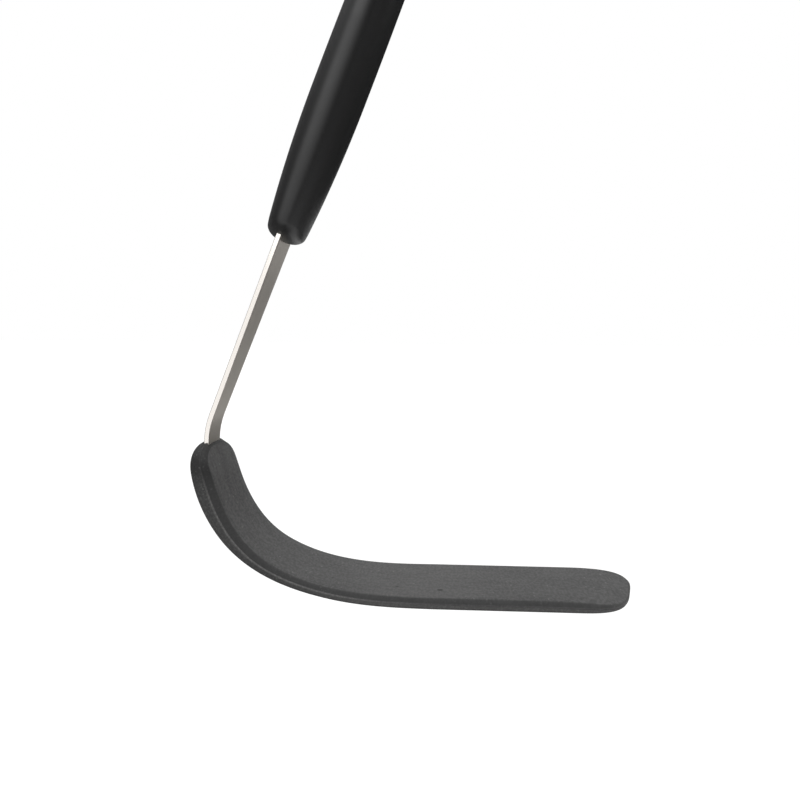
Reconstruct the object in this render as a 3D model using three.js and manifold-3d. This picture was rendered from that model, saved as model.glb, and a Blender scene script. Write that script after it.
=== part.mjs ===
// Silicone spatula: a springy J-shaped silicone blade on a flat steel shank with a soft-touch handle.
// Millimetres, +Z up. X runs along the level stretch of the blade towards its tip, Y across its width.
// The origin is the centre of the level stretch's underside.

import * as THREE from "three";
import { mergeVertices } from "three/addons/utils/BufferGeometryUtils.js";
import Module from "manifold-3d";

const DEGREE = Math.PI / 180;
const QUARTER_TURN = Math.PI / 2;

// Gap left between pieces that touch or are moulded round each other
const FIT_GAP = 0.3;

// Centreline that the shank, the spring leaf and the blade share, seen from the side
const SHANK_TILT = 21.5 * DEGREE;
const CRANK_RADIUS = 23.5;
const BEND_RADIUS = 39.8;
const BEND_TIGHT_ANGLE = 48 * DEGREE;
const LEVEL_LENGTH = 59.4;

// Silicone blade
const BLADE_ROOT_RISE = 0.6;
const BLADE_ROOT_WIDTH = 31;
const BLADE_TIP_WIDTH = 36.2;
const BLADE_ROOT_ROUND = 8;
const BLADE_ROOT_POWER = 2.6;
const BLADE_TIP_ROUND = 15;
const BLADE_TIP_POWER = 3.42;
const BLADE_TIP_SLANT = 14.7 * DEGREE;
const BLADE_INNER_BEVEL = 1.2;
const BLADE_OUTER_BEVEL = 0.6;
const BLADE_INNER_TIP_BEVEL = 0.6;
const BLADE_OUTER_TIP_BEVEL = 0.3;
const BLADE_END_HEIGHT = 1.3;
const BLADE_END_DEPTH = 2.5;
const BLADE_LEAF_COVER = 1.35;
const BLADE_RIVET_COVER = 0.65;
const BLADE_LEVEL_THICKNESS = 3.25;
const BLADE_TIP_THICKNESS = 1.35;
const BLADE_TIP_TAPER = 20;
const BLADE_SHOULDER_PLACE = 12;
const BLADE_HEIGHT_TAPER = 22;
const BLADE_DEPTH_PLACE = 26;
const BLADE_DEPTH_TAPER = 35;
const BLADE_PARTING_RISE = 0.55;
const BLADE_PARTING_TAPER = 28;

// Stainless shank, with a tang in the handle and a foot in the blade
const SHANK_THICKNESS = 1.5;
const SHANK_BLADE_WIDTH = 12;
const SHANK_HANDLE_WIDTH = 16.2;
const SHANK_SHOWN_LENGTH = 55.7;
const SHANK_CHAMFER = 0.12;
const TANG_LENGTH = 62;
const TANG_END_WIDTH = 11;
const FOOT_LENGTH = 20.5;

// Spring-steel leaf inside the blade
const LEAF_THICKNESS = 0.6;
const LEAF_MARGIN = 5;
const LEAF_TIP_MARGIN = 12;
const LEAF_ROOT_WIDTH = 16;
const LEAF_FLARE_LENGTH = 20;
const LEAF_OVERHANG = 3.5;
const LEAF_JOGGLE_LENGTH = 12;
const KEY_HOLE_DIAMETER = 6;
const KEY_HOLE_END_DISTANCE = 18;
const KEY_HOLE_COUNT = 3;

// Rivets that join the leaf to the shank's foot
const RIVET_DIAMETER = 3.6;
const RIVET_HEAD_DIAMETER = 6.4;
const RIVET_HEAD_HEIGHT = 0.7;
const RIVET_PITCH = 6.5;
const RIVET_END_DISTANCE = 4.5;

// Handle: a soft sleeve over a hard core, oval in section and set off from the strip towards the hollow
const HANDLE_LENGTH = 118.5;
const HANDLE_OFFSET = 0.15;
const HANDLE_SWELL_PLACE = 45;
const HANDLE_FRONT_HEIGHT = 10.3;
const HANDLE_SWELL_HEIGHT = 15.2;
const HANDLE_REAR_HEIGHT = 13;
const HANDLE_FRONT_WALL = 3.4;
const HANDLE_SWELL_WIDTH = 28;
const HANDLE_REAR_WIDTH = 25;
const HANDLE_FRONT_ROUND = 3.2;
const HANDLE_FRONT_SIDE_ROUND = 5.5;
const HANDLE_REAR_ROUND = 10;
const HANDLE_SECTION_POWER = 2.2;
const HANDLE_FRONT_SIDE_POWER = 2;
const HANDLE_REAR_POWER = 2;
const SLEEVE_THICKNESS = 1.8;

// Hanging slot through the rear of the handle, lined by a boss of the core
const SLOT_LENGTH = 16;
const SLOT_WIDTH = 8;
const SLOT_END_DISTANCE = 16;
const SLOT_WALL = 2.2;

// Pins that hold the tang in the core
const PIN_DIAMETER = 4;
const PIN_FRONT_PLACE = 24;
const PIN_END_DISTANCE = 14;

// Fineness of the curved surfaces
const HANDLE_SIDES = 36;
const ROUND_SIDES = 24;
const END_STEPS = 8;
const BEND_STEP = 2.5;
const INTEGRATION_STEP = 0.5;
const MERGE_DISTANCE = 1e-5;

// Lengths that follow from the driving dimensions, along the centreline from the point where it is upright
const TIGHT_LENGTH = BEND_RADIUS * BEND_TIGHT_ANGLE;
const EASE_LENGTH = 2 * BEND_RADIUS * (QUARTER_TURN - BEND_TIGHT_ANGLE);
const BEND_END = TIGHT_LENGTH + EASE_LENGTH;
const BLADE_ROOT = -BLADE_ROOT_RISE;
const BLADE_TIP = BEND_END + LEVEL_LENGTH;
const CRANK_START = -CRANK_RADIUS * SHANK_TILT;
const HANDLE_FRONT = CRANK_START - SHANK_SHOWN_LENGTH;
const TANG_END = HANDLE_FRONT - TANG_LENGTH;
const TIP_START = BLADE_TIP - BLADE_TIP_ROUND;
const RIVET_LOWER = FOOT_LENGTH - RIVET_END_DISTANCE;
const RIVET_UPPER = RIVET_LOWER - RIVET_PITCH;
const LEAF_START = RIVET_UPPER - LEAF_OVERHANG;
const LEAF_OFFSET = SHANK_THICKNESS / 2 + FIT_GAP + LEAF_THICKNESS / 2;
const LEAF_REACH = LEAF_OFFSET + LEAF_THICKNESS / 2 + FIT_GAP;
const RIVET_REACH = SHANK_THICKNESS / 2 + FIT_GAP + RIVET_HEAD_HEIGHT + FIT_GAP;
const BLADE_SHOULDER_HEIGHT = LEAF_REACH + BLADE_LEAF_COVER;
const BLADE_SHOULDER_DEPTH = RIVET_REACH + BLADE_RIVET_COVER;
const PIN_HOLE_DIAMETER = PIN_DIAMETER + 2 * FIT_GAP;
const RIVET_HOLE_DIAMETER = RIVET_DIAMETER + 2 * FIT_GAP;
const HANDLE_FRONT_WIDTH = SHANK_HANDLE_WIDTH + 2 * HANDLE_FRONT_WALL;
const PIN_REAR_PLACE = TANG_LENGTH - PIN_END_DISTANCE;
const SLOT_PLACE = HANDLE_LENGTH - SLOT_END_DISTANCE;
const CORE_INSET = SLEEVE_THICKNESS + FIT_GAP;

const wasm = await Module();
wasm.setup();

// Direction of the centreline at a distance along it: angle from straight down, positive towards +X
function heading(distance) {
  if (distance < 0) {
    return -Math.min(-distance / CRANK_RADIUS, SHANK_TILT);
  }
  if (distance < TIGHT_LENGTH) {
    return distance / BEND_RADIUS;
  }
  const eased = Math.min(distance - TIGHT_LENGTH, EASE_LENGTH);
  return BEND_TIGHT_ANGLE + (eased - eased ** 2 / (2 * EASE_LENGTH)) / BEND_RADIUS;
}

// Way travelled from the upright point of the centreline
function travel(distance) {
  const count = Math.max(1, Math.ceil(Math.abs(distance) / INTEGRATION_STEP));
  const step = distance / count;
  const way = { x: 0, z: 0 };
  for (let i = 0; i < count; i += 1) {
    const angle = heading((i + 0.5) * step);
    way.x += Math.sin(angle) * step;
    way.z -= Math.cos(angle) * step;
  }
  return way;
}

const BEND_TRAVEL = travel(BEND_END);
const UPRIGHT_X = -LEVEL_LENGTH / 2 - BEND_TRAVEL.x;
const UPRIGHT_Z = BLADE_LEVEL_THICKNESS / 2 - BEND_TRAVEL.z;

// Point at a distance along the centreline, offset towards the hollow of the J, and across the width
function place(distance, offset, across) {
  const way = travel(distance);
  const angle = heading(distance);
  return new THREE.Vector3(
    UPRIGHT_X + way.x + offset * Math.cos(angle),
    across,
    UPRIGHT_Z + way.z + offset * Math.sin(angle),
  );
}

// Frame at a distance along the centreline: X along it, Y across the width, Z towards the hollow of the J
function frameAt(distance) {
  const angle = heading(distance);
  const along = new THREE.Vector3(Math.sin(angle), 0, -Math.cos(angle));
  const across = new THREE.Vector3(0, 1, 0);
  const inward = new THREE.Vector3().crossVectors(along, across);
  return new THREE.Matrix4().makeBasis(along, across, inward).setPosition(place(distance, 0, 0));
}

// Share of the way from one value to another
function between(from, to, share) {
  return from + (to - from) * THREE.MathUtils.clamp(share, 0, 1);
}

// Evenly spaced values from one end to the other, both included
function spread(from, to, count) {
  return Array.from({ length: count + 1 }, (_, i) => from + ((to - from) * i) / count);
}

// Skin over a row of rings with the same number of points, with a flat cap on each end that is open
function loft(rings, startOpen, endOpen) {
  const sides = rings[0].length;
  const points = rings.flat();
  const triangles = [];
  for (let row = 0; row + 1 < rings.length; row += 1) {
    for (let i = 0; i < sides; i += 1) {
      const a = row * sides + i;
      const b = row * sides + ((i + 1) % sides);
      triangles.push([a, b, b + sides], [a, b + sides, a + sides]);
    }
  }
  const last = (rings.length - 1) * sides;
  for (let i = 1; i + 1 < sides; i += 1) {
    if (startOpen) {
      triangles.push([0, i + 1, i]);
    }
    if (endOpen) {
      triangles.push([last, last + i, last + i + 1]);
    }
  }
  const geometry = new THREE.BufferGeometry().setFromPoints(points);
  geometry.setIndex(triangles.flat());
  return geometry;
}

// Solid from a closed geometry, whichever way round its triangles were listed
function solid(geometry) {
  const bare = geometry.clone();
  bare.deleteAttribute("normal");
  bare.deleteAttribute("uv");
  const merged = mergeVertices(bare, MERGE_DISTANCE);
  const position = merged.attributes.position;
  const corners = [];
  const index = merged.index.array;
  for (let i = 0; i < index.length; i += 3) {
    const [a, b, c] = [index[i], index[i + 1], index[i + 2]];
    if (a !== b && b !== c && c !== a) {
      corners.push(a, b, c);
    }
  }
  if (signedVolume(position, corners) < 0) {
    corners.reverse();
  }
  const mesh = new wasm.Mesh({
    numProp: 3,
    vertProperties: new Float32Array(position.array),
    triVerts: new Uint32Array(corners),
  });
  return new wasm.Manifold(mesh);
}

// Volume inside a skin, negative where its triangles face inwards
function signedVolume(position, corners) {
  const [a, b, c] = [new THREE.Vector3(), new THREE.Vector3(), new THREE.Vector3()];
  let volume = 0;
  for (let i = 0; i < corners.length; i += 3) {
    a.fromBufferAttribute(position, corners[i]);
    b.fromBufferAttribute(position, corners[i + 1]);
    c.fromBufferAttribute(position, corners[i + 2]);
    volume += a.dot(b.cross(c)) / 6;
  }
  return volume;
}

// Geometry of a finished solid
function skin(body) {
  const mesh = body.getMesh();
  const geometry = new THREE.BufferGeometry();
  geometry.setAttribute("position", new THREE.BufferAttribute(new Float32Array(mesh.vertProperties), 3));
  geometry.setIndex(new THREE.BufferAttribute(new Uint32Array(mesh.triVerts), 1));
  return geometry;
}

// Round bar along the Z axis of a frame
function roundBar(frame, diameter, from, to) {
  const outline = [[0, from], [diameter / 2, from], [diameter / 2, to], [0, to]];
  return turned(frame, outline);
}

// Turned piece about the Z axis of a frame, from pairs of radius and height
function turned(frame, outline) {
  const points = outline.map(([radius, height]) => new THREE.Vector2(radius, height));
  const geometry = new THREE.LatheGeometry(points, ROUND_SIDES);
  geometry.rotateX(QUARTER_TURN);
  geometry.applyMatrix4(frame);
  return solid(geometry);
}

// Round-ended bar along the Z axis of a frame, longer along X
function slotBar(frame, length, width, depth) {
  const reach = (length - width) / 2;
  const shape = new THREE.Shape();
  shape.absarc(reach, 0, width / 2, -QUARTER_TURN, QUARTER_TURN, false);
  shape.absarc(-reach, 0, width / 2, QUARTER_TURN, 3 * QUARTER_TURN, false);
  const geometry = new THREE.ExtrudeGeometry(shape, {
    depth,
    bevelEnabled: false,
    curveSegments: ROUND_SIDES / 2,
  });
  geometry.translate(0, 0, -depth / 2);
  geometry.applyMatrix4(frame);
  return solid(geometry);
}

// Size that grows from the blade's root end to its shoulder, and tapers off over a length after a place
function bladeTaper(distance, end, shoulder, level, start, length) {
  if (distance < BLADE_SHOULDER_PLACE) {
    const share = (BLADE_SHOULDER_PLACE - distance) / (BLADE_SHOULDER_PLACE - BLADE_ROOT);
    return between(shoulder, end, share ** 2);
  }
  return between(shoulder, level, (distance - start) / length);
}

// Height of the blade's inner face over the centreline, which drops to thin the tip
function bladeHeight(distance) {
  const [end, shoulder, level] = [BLADE_END_HEIGHT, BLADE_SHOULDER_HEIGHT, BLADE_LEVEL_THICKNESS / 2];
  const height = bladeTaper(distance, end, shoulder, level, BLADE_SHOULDER_PLACE, BLADE_HEIGHT_TAPER);
  const share = Math.max(0, 1 - (BLADE_TIP - distance) / BLADE_TIP_TAPER);
  return height - between(0, BLADE_LEVEL_THICKNESS - BLADE_TIP_THICKNESS, share ** 2);
}

// Depth of the blade's outer face under the centreline
function bladeDepth(distance) {
  const [end, shoulder, level] = [BLADE_END_DEPTH, BLADE_SHOULDER_DEPTH, BLADE_LEVEL_THICKNESS / 2];
  return bladeTaper(distance, end, shoulder, level, BLADE_DEPTH_PLACE, BLADE_DEPTH_TAPER);
}

// Offset of the parting line: midway between the faces, and somewhat higher near the root
function partingOffset(distance) {
  const middle = (bladeHeight(distance) - bladeDepth(distance)) / 2;
  const share = (distance - BLADE_SHOULDER_PLACE) / BLADE_PARTING_TAPER;
  return middle + between(BLADE_PARTING_RISE, 0, share);
}

// Half width of the blade before its ends are rounded: it widens through the bend and then stays parallel
function bladeHalfWidth(distance) {
  const share = (distance - BLADE_ROOT) / (BEND_END - BLADE_ROOT);
  return between(BLADE_ROOT_WIDTH, BLADE_TIP_WIDTH, share) / 2;
}

// Quarter of a rounded end: pairs of reach and closing, each from 0 to 1, from the side to the middle
function endCurve(power) {
  return spread(0, QUARTER_TURN, END_STEPS).map((angle, i) => [
    Math.sin(angle) ** (2 / power),
    i === END_STEPS ? 0 : Math.cos(angle) ** (2 / power),
  ]);
}

// Distances along the bend from a start to the level stretch
function bendDistances(start) {
  return spread(start, BEND_END, Math.ceil((BEND_END - start) / BEND_STEP));
}

// Outline of the blade's tip laid flat, drawn in at the sides and at the end: pairs of distance and half width
function tipOutline(margin, endMargin) {
  return endCurve(BLADE_TIP_POWER).map(([reach, closing]) => {
    const distance = TIP_START + (BLADE_TIP_ROUND - endMargin) * reach;
    return [distance, (bladeHalfWidth(distance) - margin) * closing];
  });
}

// Outline of the whole blade laid flat, drawn in by a margin and by another at the tip, from root to tip
function bladeOutline(margin, tipMargin) {
  const rootEnd = BLADE_ROOT + BLADE_ROOT_ROUND;
  const root = endCurve(BLADE_ROOT_POWER).map(([reach, closing]) => {
    const distance = rootEnd - (BLADE_ROOT_ROUND - margin) * reach;
    return [distance, (bladeHalfWidth(distance) - margin) * closing];
  });
  const bend = bendDistances(rootEnd).slice(1);
  const sides = bend.map((distance) => [distance, bladeHalfWidth(distance) - margin]);
  return [...root.reverse(), ...sides, ...tipOutline(margin, tipMargin)];
}

// Point on the blade, slanted with its tip where the tip is rounded
function bladePlace(distance, offset, across) {
  const slant = distance < TIP_START ? 0 : Math.tan(BLADE_TIP_SLANT) * across;
  return place(distance + slant, offset, across);
}

// Outer form of the blade: two faces, and a side wall bevelled from each to the parting line
function bladeForm() {
  const edge = bladeOutline(0, 0);
  const inner = bladeOutline(BLADE_INNER_BEVEL, BLADE_INNER_TIP_BEVEL);
  const outer = bladeOutline(BLADE_OUTER_BEVEL, BLADE_OUTER_TIP_BEVEL);
  const rings = edge.map(([distance, half], i) => {
    const [innerDistance, innerHalf] = inner[i];
    const [outerDistance, outerHalf] = outer[i];
    const height = bladeHeight(innerDistance);
    const depth = bladeDepth(outerDistance);
    const parting = partingOffset(distance);
    return [
      bladePlace(innerDistance, height, -innerHalf),
      bladePlace(innerDistance, height, innerHalf),
      bladePlace(distance, parting, half),
      bladePlace(outerDistance, -depth, outerHalf),
      bladePlace(outerDistance, -depth, -outerHalf),
      bladePlace(distance, parting, -half),
    ];
  });
  return solid(loft(rings, false, false));
}

// Offset of the spring leaf from the centreline: beside the foot first, then stepped to the middle
function leafOffset(distance) {
  const share = THREE.MathUtils.smoothstep(distance, FOOT_LENGTH, FOOT_LENGTH + LEAF_JOGGLE_LENGTH);
  return LEAF_OFFSET * (1 - share);
}

// Half width of the spring leaf, which flares from the shank's foot to the blade's width less a margin
function leafHalfWidth(distance) {
  const share = (distance - LEAF_START) / LEAF_FLARE_LENGTH;
  return between(LEAF_ROOT_WIDTH / 2, bladeHalfWidth(distance) - LEAF_MARGIN, share);
}

// Spring leaf with its key holes, or the pocket for it when grown by a gap
function leafForm(grow) {
  const half = LEAF_THICKNESS / 2 + grow;
  const bend = bendDistances(LEAF_START - grow);
  const sides = bend.map((distance) => [distance, leafHalfWidth(distance) + grow]);
  const tip = tipOutline(LEAF_MARGIN - grow, LEAF_TIP_MARGIN - grow);
  const rings = [...sides, ...tip].map(([distance, across]) => {
    const offset = leafOffset(distance);
    return [
      bladePlace(distance, offset + half, -across),
      bladePlace(distance, offset + half, across),
      bladePlace(distance, offset - half, across),
      bladePlace(distance, offset - half, -across),
    ];
  });
  let body = solid(loft(rings, true, false));
  const firstHole = BEND_END + KEY_HOLE_END_DISTANCE;
  const lastHole = BLADE_TIP - KEY_HOLE_END_DISTANCE;
  for (const distance of spread(firstHole, lastHole, KEY_HOLE_COUNT - 1)) {
    const diameter = KEY_HOLE_DIAMETER - 2 * grow;
    body = body.subtract(roundBar(frameAt(distance), diameter, -2 * half, 2 * half));
  }
  return body;
}

// Width of the steel strip at a distance along the centreline
function shankWidth(distance) {
  if (distance < HANDLE_FRONT) {
    const share = (HANDLE_FRONT - distance) / TANG_LENGTH;
    return between(SHANK_HANDLE_WIDTH, TANG_END_WIDTH, share);
  }
  const share = (BLADE_ROOT - distance) / (BLADE_ROOT - HANDLE_FRONT);
  return between(SHANK_BLADE_WIDTH, SHANK_HANDLE_WIDTH, share);
}

// Flat steel strip from the tang's end to the foot's end, or the socket for it when grown by a gap
function stripForm(grow) {
  const half = SHANK_THICKNESS / 2 + grow;
  const chamfer = SHANK_CHAMFER;
  const crankSteps = Math.ceil(-CRANK_START / BEND_STEP);
  const footSteps = Math.ceil(FOOT_LENGTH / BEND_STEP);
  const stations = [
    TANG_END - grow,
    HANDLE_FRONT,
    ...spread(CRANK_START, 0, crankSteps),
    ...spread(0, FOOT_LENGTH + grow, footSteps).slice(1),
  ];
  const rings = stations.map((distance) => {
    const across = shankWidth(distance) / 2 + grow;
    return [
      place(distance, half, -across + chamfer),
      place(distance, half, across - chamfer),
      place(distance, half - chamfer, across),
      place(distance, -half + chamfer, across),
      place(distance, -half, across - chamfer),
      place(distance, -half, -across + chamfer),
      place(distance, -half + chamfer, -across),
      place(distance, half - chamfer, -across),
    ];
  });
  return solid(loft(rings, true, true));
}

// Half size of the handle from its front, through its swell, to its rear
function handleHalf(along, front, swell, rear) {
  const forward = along < HANDLE_SWELL_PLACE;
  const end = forward ? front : rear;
  const reach = forward ? HANDLE_SWELL_PLACE : HANDLE_LENGTH - HANDLE_SWELL_PLACE;
  const share = Math.abs(along - HANDLE_SWELL_PLACE) / reach;
  return between(swell, end, share ** 2) / 2;
}

// Half height of the handle at a distance behind its front
function handleHalfHeight(along) {
  return handleHalf(along, HANDLE_FRONT_HEIGHT, HANDLE_SWELL_HEIGHT, HANDLE_REAR_HEIGHT);
}

// Half width of the handle at a distance behind its front
function handleHalfWidth(along) {
  return handleHalf(along, HANDLE_FRONT_WIDTH, HANDLE_SWELL_WIDTH, HANDLE_REAR_WIDTH);
}

// Value on a superellipse for a sine or a cosine, with its sign kept
function swelled(value, power) {
  return Math.sign(value) * Math.abs(value) ** (2 / power);
}

// Share of the full size at a depth behind a rounded end
function endClosing(depth, round, power) {
  const share = THREE.MathUtils.clamp(1 - depth / round, 0, 1);
  return (1 - share ** power) ** (1 / power);
}

// Oval body of the handle, drawn in by an inset on every side
function handleForm(inset) {
  const rearPlace = HANDLE_LENGTH - inset;
  const frontEnd = inset + HANDLE_FRONT_SIDE_ROUND;
  const rearEnd = rearPlace - HANDLE_REAR_ROUND;
  const front = endCurve(HANDLE_FRONT_SIDE_POWER).map(([reach]) => frontEnd - HANDLE_FRONT_SIDE_ROUND * reach);
  const rear = endCurve(HANDLE_REAR_POWER).map(([reach]) => rearEnd + HANDLE_REAR_ROUND * reach);
  const middle = spread(frontEnd, rearEnd, 2 * END_STEPS).slice(1, -1);
  const angles = spread(0, 4 * QUARTER_TURN, HANDLE_SIDES).slice(1);
  const rings = [...front.reverse(), ...middle, ...rear].map((along) => {
    const rearClosing = endClosing(rearPlace - along, HANDLE_REAR_ROUND, HANDLE_REAR_POWER);
    const heightClosing = rearClosing * endClosing(along - inset, HANDLE_FRONT_ROUND, HANDLE_SECTION_POWER);
    const widthClosing =
      rearClosing * endClosing(along - inset, HANDLE_FRONT_SIDE_ROUND, HANDLE_FRONT_SIDE_POWER);
    const height = (handleHalfHeight(along) - inset) * heightClosing;
    const width = (handleHalfWidth(along) - inset) * widthClosing;
    return angles.map((angle) => {
      const offset = HANDLE_OFFSET + height * swelled(Math.sin(angle), HANDLE_SECTION_POWER);
      const across = width * swelled(Math.cos(angle), HANDLE_SECTION_POWER);
      return place(HANDLE_FRONT - along, offset, across);
    });
  });
  return solid(loft(rings, false, false));
}

// Frame on the handle's axis at a distance behind its front
function handleFrame(along) {
  return frameAt(HANDLE_FRONT - along);
}

// Rivet through the leaf and the foot, headed on the foot's side and flush on the leaf's
function rivetForm(distance, grow) {
  const head = -SHANK_THICKNESS / 2 - FIT_GAP;
  const outline = [
    [0, head - RIVET_HEAD_HEIGHT - grow],
    [RIVET_HEAD_DIAMETER / 2 + grow, head - RIVET_HEAD_HEIGHT - grow],
    [RIVET_HEAD_DIAMETER / 2 + grow, head + grow],
    [RIVET_DIAMETER / 2 + grow, head + grow],
    [RIVET_DIAMETER / 2 + grow, LEAF_OFFSET + LEAF_THICKNESS / 2 + grow],
    [0, LEAF_OFFSET + LEAF_THICKNESS / 2 + grow],
  ];
  return turned(frameAt(distance), outline);
}

// Pin across the core and the tang
function pinForm(along) {
  const reach = handleHalfHeight(along) - CORE_INSET - FIT_GAP;
  return roundBar(handleFrame(along), PIN_DIAMETER, HANDLE_OFFSET - reach, HANDLE_OFFSET + reach);
}

// Named piece with its finish
function piece(name, body, finish) {
  const mesh = new THREE.Mesh(skin(body), finish);
  mesh.name = name;
  return mesh;
}

const siliconeFinish = new THREE.MeshStandardMaterial({ color: 0x5c5b5a, roughness: 0.62, metalness: 0 });
const steelFinish = new THREE.MeshStandardMaterial({ color: 0xc9c4ba, roughness: 0.3, metalness: 1 });
const springFinish = new THREE.MeshStandardMaterial({ color: 0x9a9a98, roughness: 0.35, metalness: 1 });
const softFinish = new THREE.MeshStandardMaterial({ color: 0x232324, roughness: 0.55, metalness: 0 });
const hardFinish = new THREE.MeshStandardMaterial({ color: 0x2d2d2f, roughness: 0.4, metalness: 0 });

const rivetPlaces = [RIVET_UPPER, RIVET_LOWER];
const pinPlaces = [PIN_FRONT_PLACE, PIN_REAR_PLACE];

// Steel inside the blade
let leaf = leafForm(0);
let shank = stripForm(0);
for (const distance of rivetPlaces) {
  const holeTop = LEAF_OFFSET + LEAF_THICKNESS;
  const hole = roundBar(frameAt(distance), RIVET_HOLE_DIAMETER, -SHANK_THICKNESS, holeTop);
  leaf = leaf.subtract(hole);
  shank = shank.subtract(hole);
}

// Blade moulded round the steel
let blade = bladeForm().subtract(leafForm(FIT_GAP)).subtract(stripForm(FIT_GAP));
for (const distance of rivetPlaces) {
  blade = blade.subtract(rivetForm(distance, FIT_GAP));
}

// Handle round the tang
const handleDepth = 2 * HANDLE_SWELL_HEIGHT;
const slotFrame = handleFrame(SLOT_PLACE);
const bossGrow = 2 * SLOT_WALL;
const boss = slotBar(slotFrame, SLOT_LENGTH + bossGrow, SLOT_WIDTH + bossGrow, handleDepth);
const bossClearance = slotBar(
  slotFrame,
  SLOT_LENGTH + bossGrow + 2 * FIT_GAP,
  SLOT_WIDTH + bossGrow + 2 * FIT_GAP,
  handleDepth,
);
const slot = slotBar(slotFrame, SLOT_LENGTH, SLOT_WIDTH, handleDepth);
const socket = stripForm(FIT_GAP);
let core = handleForm(CORE_INSET).add(handleForm(0).intersect(boss)).subtract(slot).subtract(socket);
for (const along of pinPlaces) {
  const hole = roundBar(handleFrame(along), PIN_HOLE_DIAMETER, -handleDepth / 2, handleDepth / 2);
  core = core.subtract(hole);
  shank = shank.subtract(hole);
}
const sleeveShell = handleForm(0).subtract(handleForm(SLEEVE_THICKNESS));
const sleeve = sleeveShell.subtract(bossClearance).subtract(socket);

const handleGroup = new THREE.Group();
handleGroup.name = "handle";
handleGroup.add(
  piece("handle_core", core, hardFinish),
  piece("grip_sleeve", sleeve, softFinish),
  piece("tang_pin_front", pinForm(PIN_FRONT_PLACE), steelFinish),
  piece("tang_pin_rear", pinForm(PIN_REAR_PLACE), steelFinish),
  piece("shank", shank, steelFinish),
  piece("core_rivet_upper", rivetForm(RIVET_UPPER, 0), steelFinish),
  piece("core_rivet_lower", rivetForm(RIVET_LOWER, 0), steelFinish),
);

const bladeGroup = new THREE.Group();
bladeGroup.name = "flexing_blade";
bladeGroup.add(
  piece("blade_core", leaf, springFinish),
  piece("blade", blade, siliconeFinish),
);

const spatula = new THREE.Group();
spatula.name = "silicone_spatula";
spatula.add(handleGroup, bladeGroup);

export default spatula;
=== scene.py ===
"""Silicone spatula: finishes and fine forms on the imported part, a plain studio and the camera.

Sizes are millimetres and are turned into metres where a mesh is made. X runs along the level stretch of
the blade towards its tip, Y across its width and Z up. Distances along the spatula are counted from the
point where its centreline is upright, towards the tip.
"""

import logging
import math
from dataclasses import dataclass
from enum import Enum
from typing import Any, Container, Iterable, Sequence

import bmesh
import bpy
from mathutils import Matrix, Vector


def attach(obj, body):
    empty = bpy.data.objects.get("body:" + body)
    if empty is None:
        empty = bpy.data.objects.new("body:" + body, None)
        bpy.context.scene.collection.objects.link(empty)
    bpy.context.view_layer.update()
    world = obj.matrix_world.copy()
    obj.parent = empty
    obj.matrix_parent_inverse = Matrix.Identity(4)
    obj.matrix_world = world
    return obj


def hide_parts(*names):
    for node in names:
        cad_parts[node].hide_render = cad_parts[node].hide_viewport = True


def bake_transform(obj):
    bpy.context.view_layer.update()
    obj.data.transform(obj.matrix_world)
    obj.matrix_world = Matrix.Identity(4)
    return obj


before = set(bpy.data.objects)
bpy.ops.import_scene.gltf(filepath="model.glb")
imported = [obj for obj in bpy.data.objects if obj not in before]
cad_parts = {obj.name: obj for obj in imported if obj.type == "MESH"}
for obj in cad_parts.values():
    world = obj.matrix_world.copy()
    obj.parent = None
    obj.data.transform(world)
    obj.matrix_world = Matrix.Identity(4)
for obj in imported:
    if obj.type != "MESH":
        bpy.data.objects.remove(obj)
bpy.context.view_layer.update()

LOG = logging.getLogger("spatula")
MILLIMETRE = 0.001
MERGE_DISTANCE = 1e-7
ROUNDING_SEGMENTS = 3
QUARTER_TURN = math.pi / 2

# Sockets of a Mix node for colours, which share their names with its other sockets.
MIX_SHARE = 0
MIX_START = 6
MIX_END = 7
MIX_RESULT = 2

Pair = tuple[float, float]
Triple = tuple[float, float, float]
Colour = Triple
Ring = Sequence[bmesh.types.BMVert]
Mesh = bmesh.types.BMesh
Piece = bpy.types.Object


class Body(Enum):
    """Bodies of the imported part."""

    HANDLE = "handle"
    BLADE = "blade"


class Slot(Enum):
    """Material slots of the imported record."""

    HARD_PLASTIC = "hard_plastic"
    SOFT_GRIP = "soft_grip"
    PIN_STEEL = "pin_steel"
    SHANK_STEEL = "shank_steel"
    SPRING_STEEL = "spring_steel"
    SILICONE = "silicone"


class Ray(Enum):
    """Kinds of light ray that see the white background."""

    CAMERA = "Is Camera Ray"
    GLOSSY = "Is Glossy Ray"
    TRANSMISSION = "Is Transmission Ray"


def even(value: float) -> Triple:
    """The same value three times, for a grey or an even scale."""
    return (value, value, value)


def clamp(value: float) -> float:
    """Keep a share between 0 and 1."""
    return min(1.0, max(0.0, value))


def between(start: float, end: float, share: float) -> float:
    """Value a share of the way from start to end, held at both ends."""
    return start + (end - start) * clamp(share)


def smooth(share: float) -> float:
    """Share eased at both ends."""
    held = clamp(share)
    return held * held * (3 - 2 * held)


def spread(start: float, end: float, steps: int) -> list[float]:
    """Evenly spaced values from start to end, both included."""
    return [start + (end - start) * i / steps for i in range(steps + 1)]


def signed_power(value: float, power: float) -> float:
    """Raise the size of a value to a power and keep its sign."""
    return math.copysign(abs(value) ** power, value)


def end_curve(power: float, steps: int) -> list[Pair]:
    """Quarter of a rounded end.

    Args:
        power: Power of the superellipse, 2 for a round end and more for a blunter one.
        steps: Number of steps from the side to the middle of the end.

    Returns:
        Pairs of reach and closing: reach grows from 0 to 1 while closing falls from 1 to 0.
    """
    curve = []
    for angle in spread(0, QUARTER_TURN, steps):
        reach = math.sin(angle) ** (2 / power)
        closing = max(0.0, math.cos(angle)) ** (2 / power)
        curve.append((reach, closing))
    curve[-1] = (1.0, 0.0)
    return curve


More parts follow.
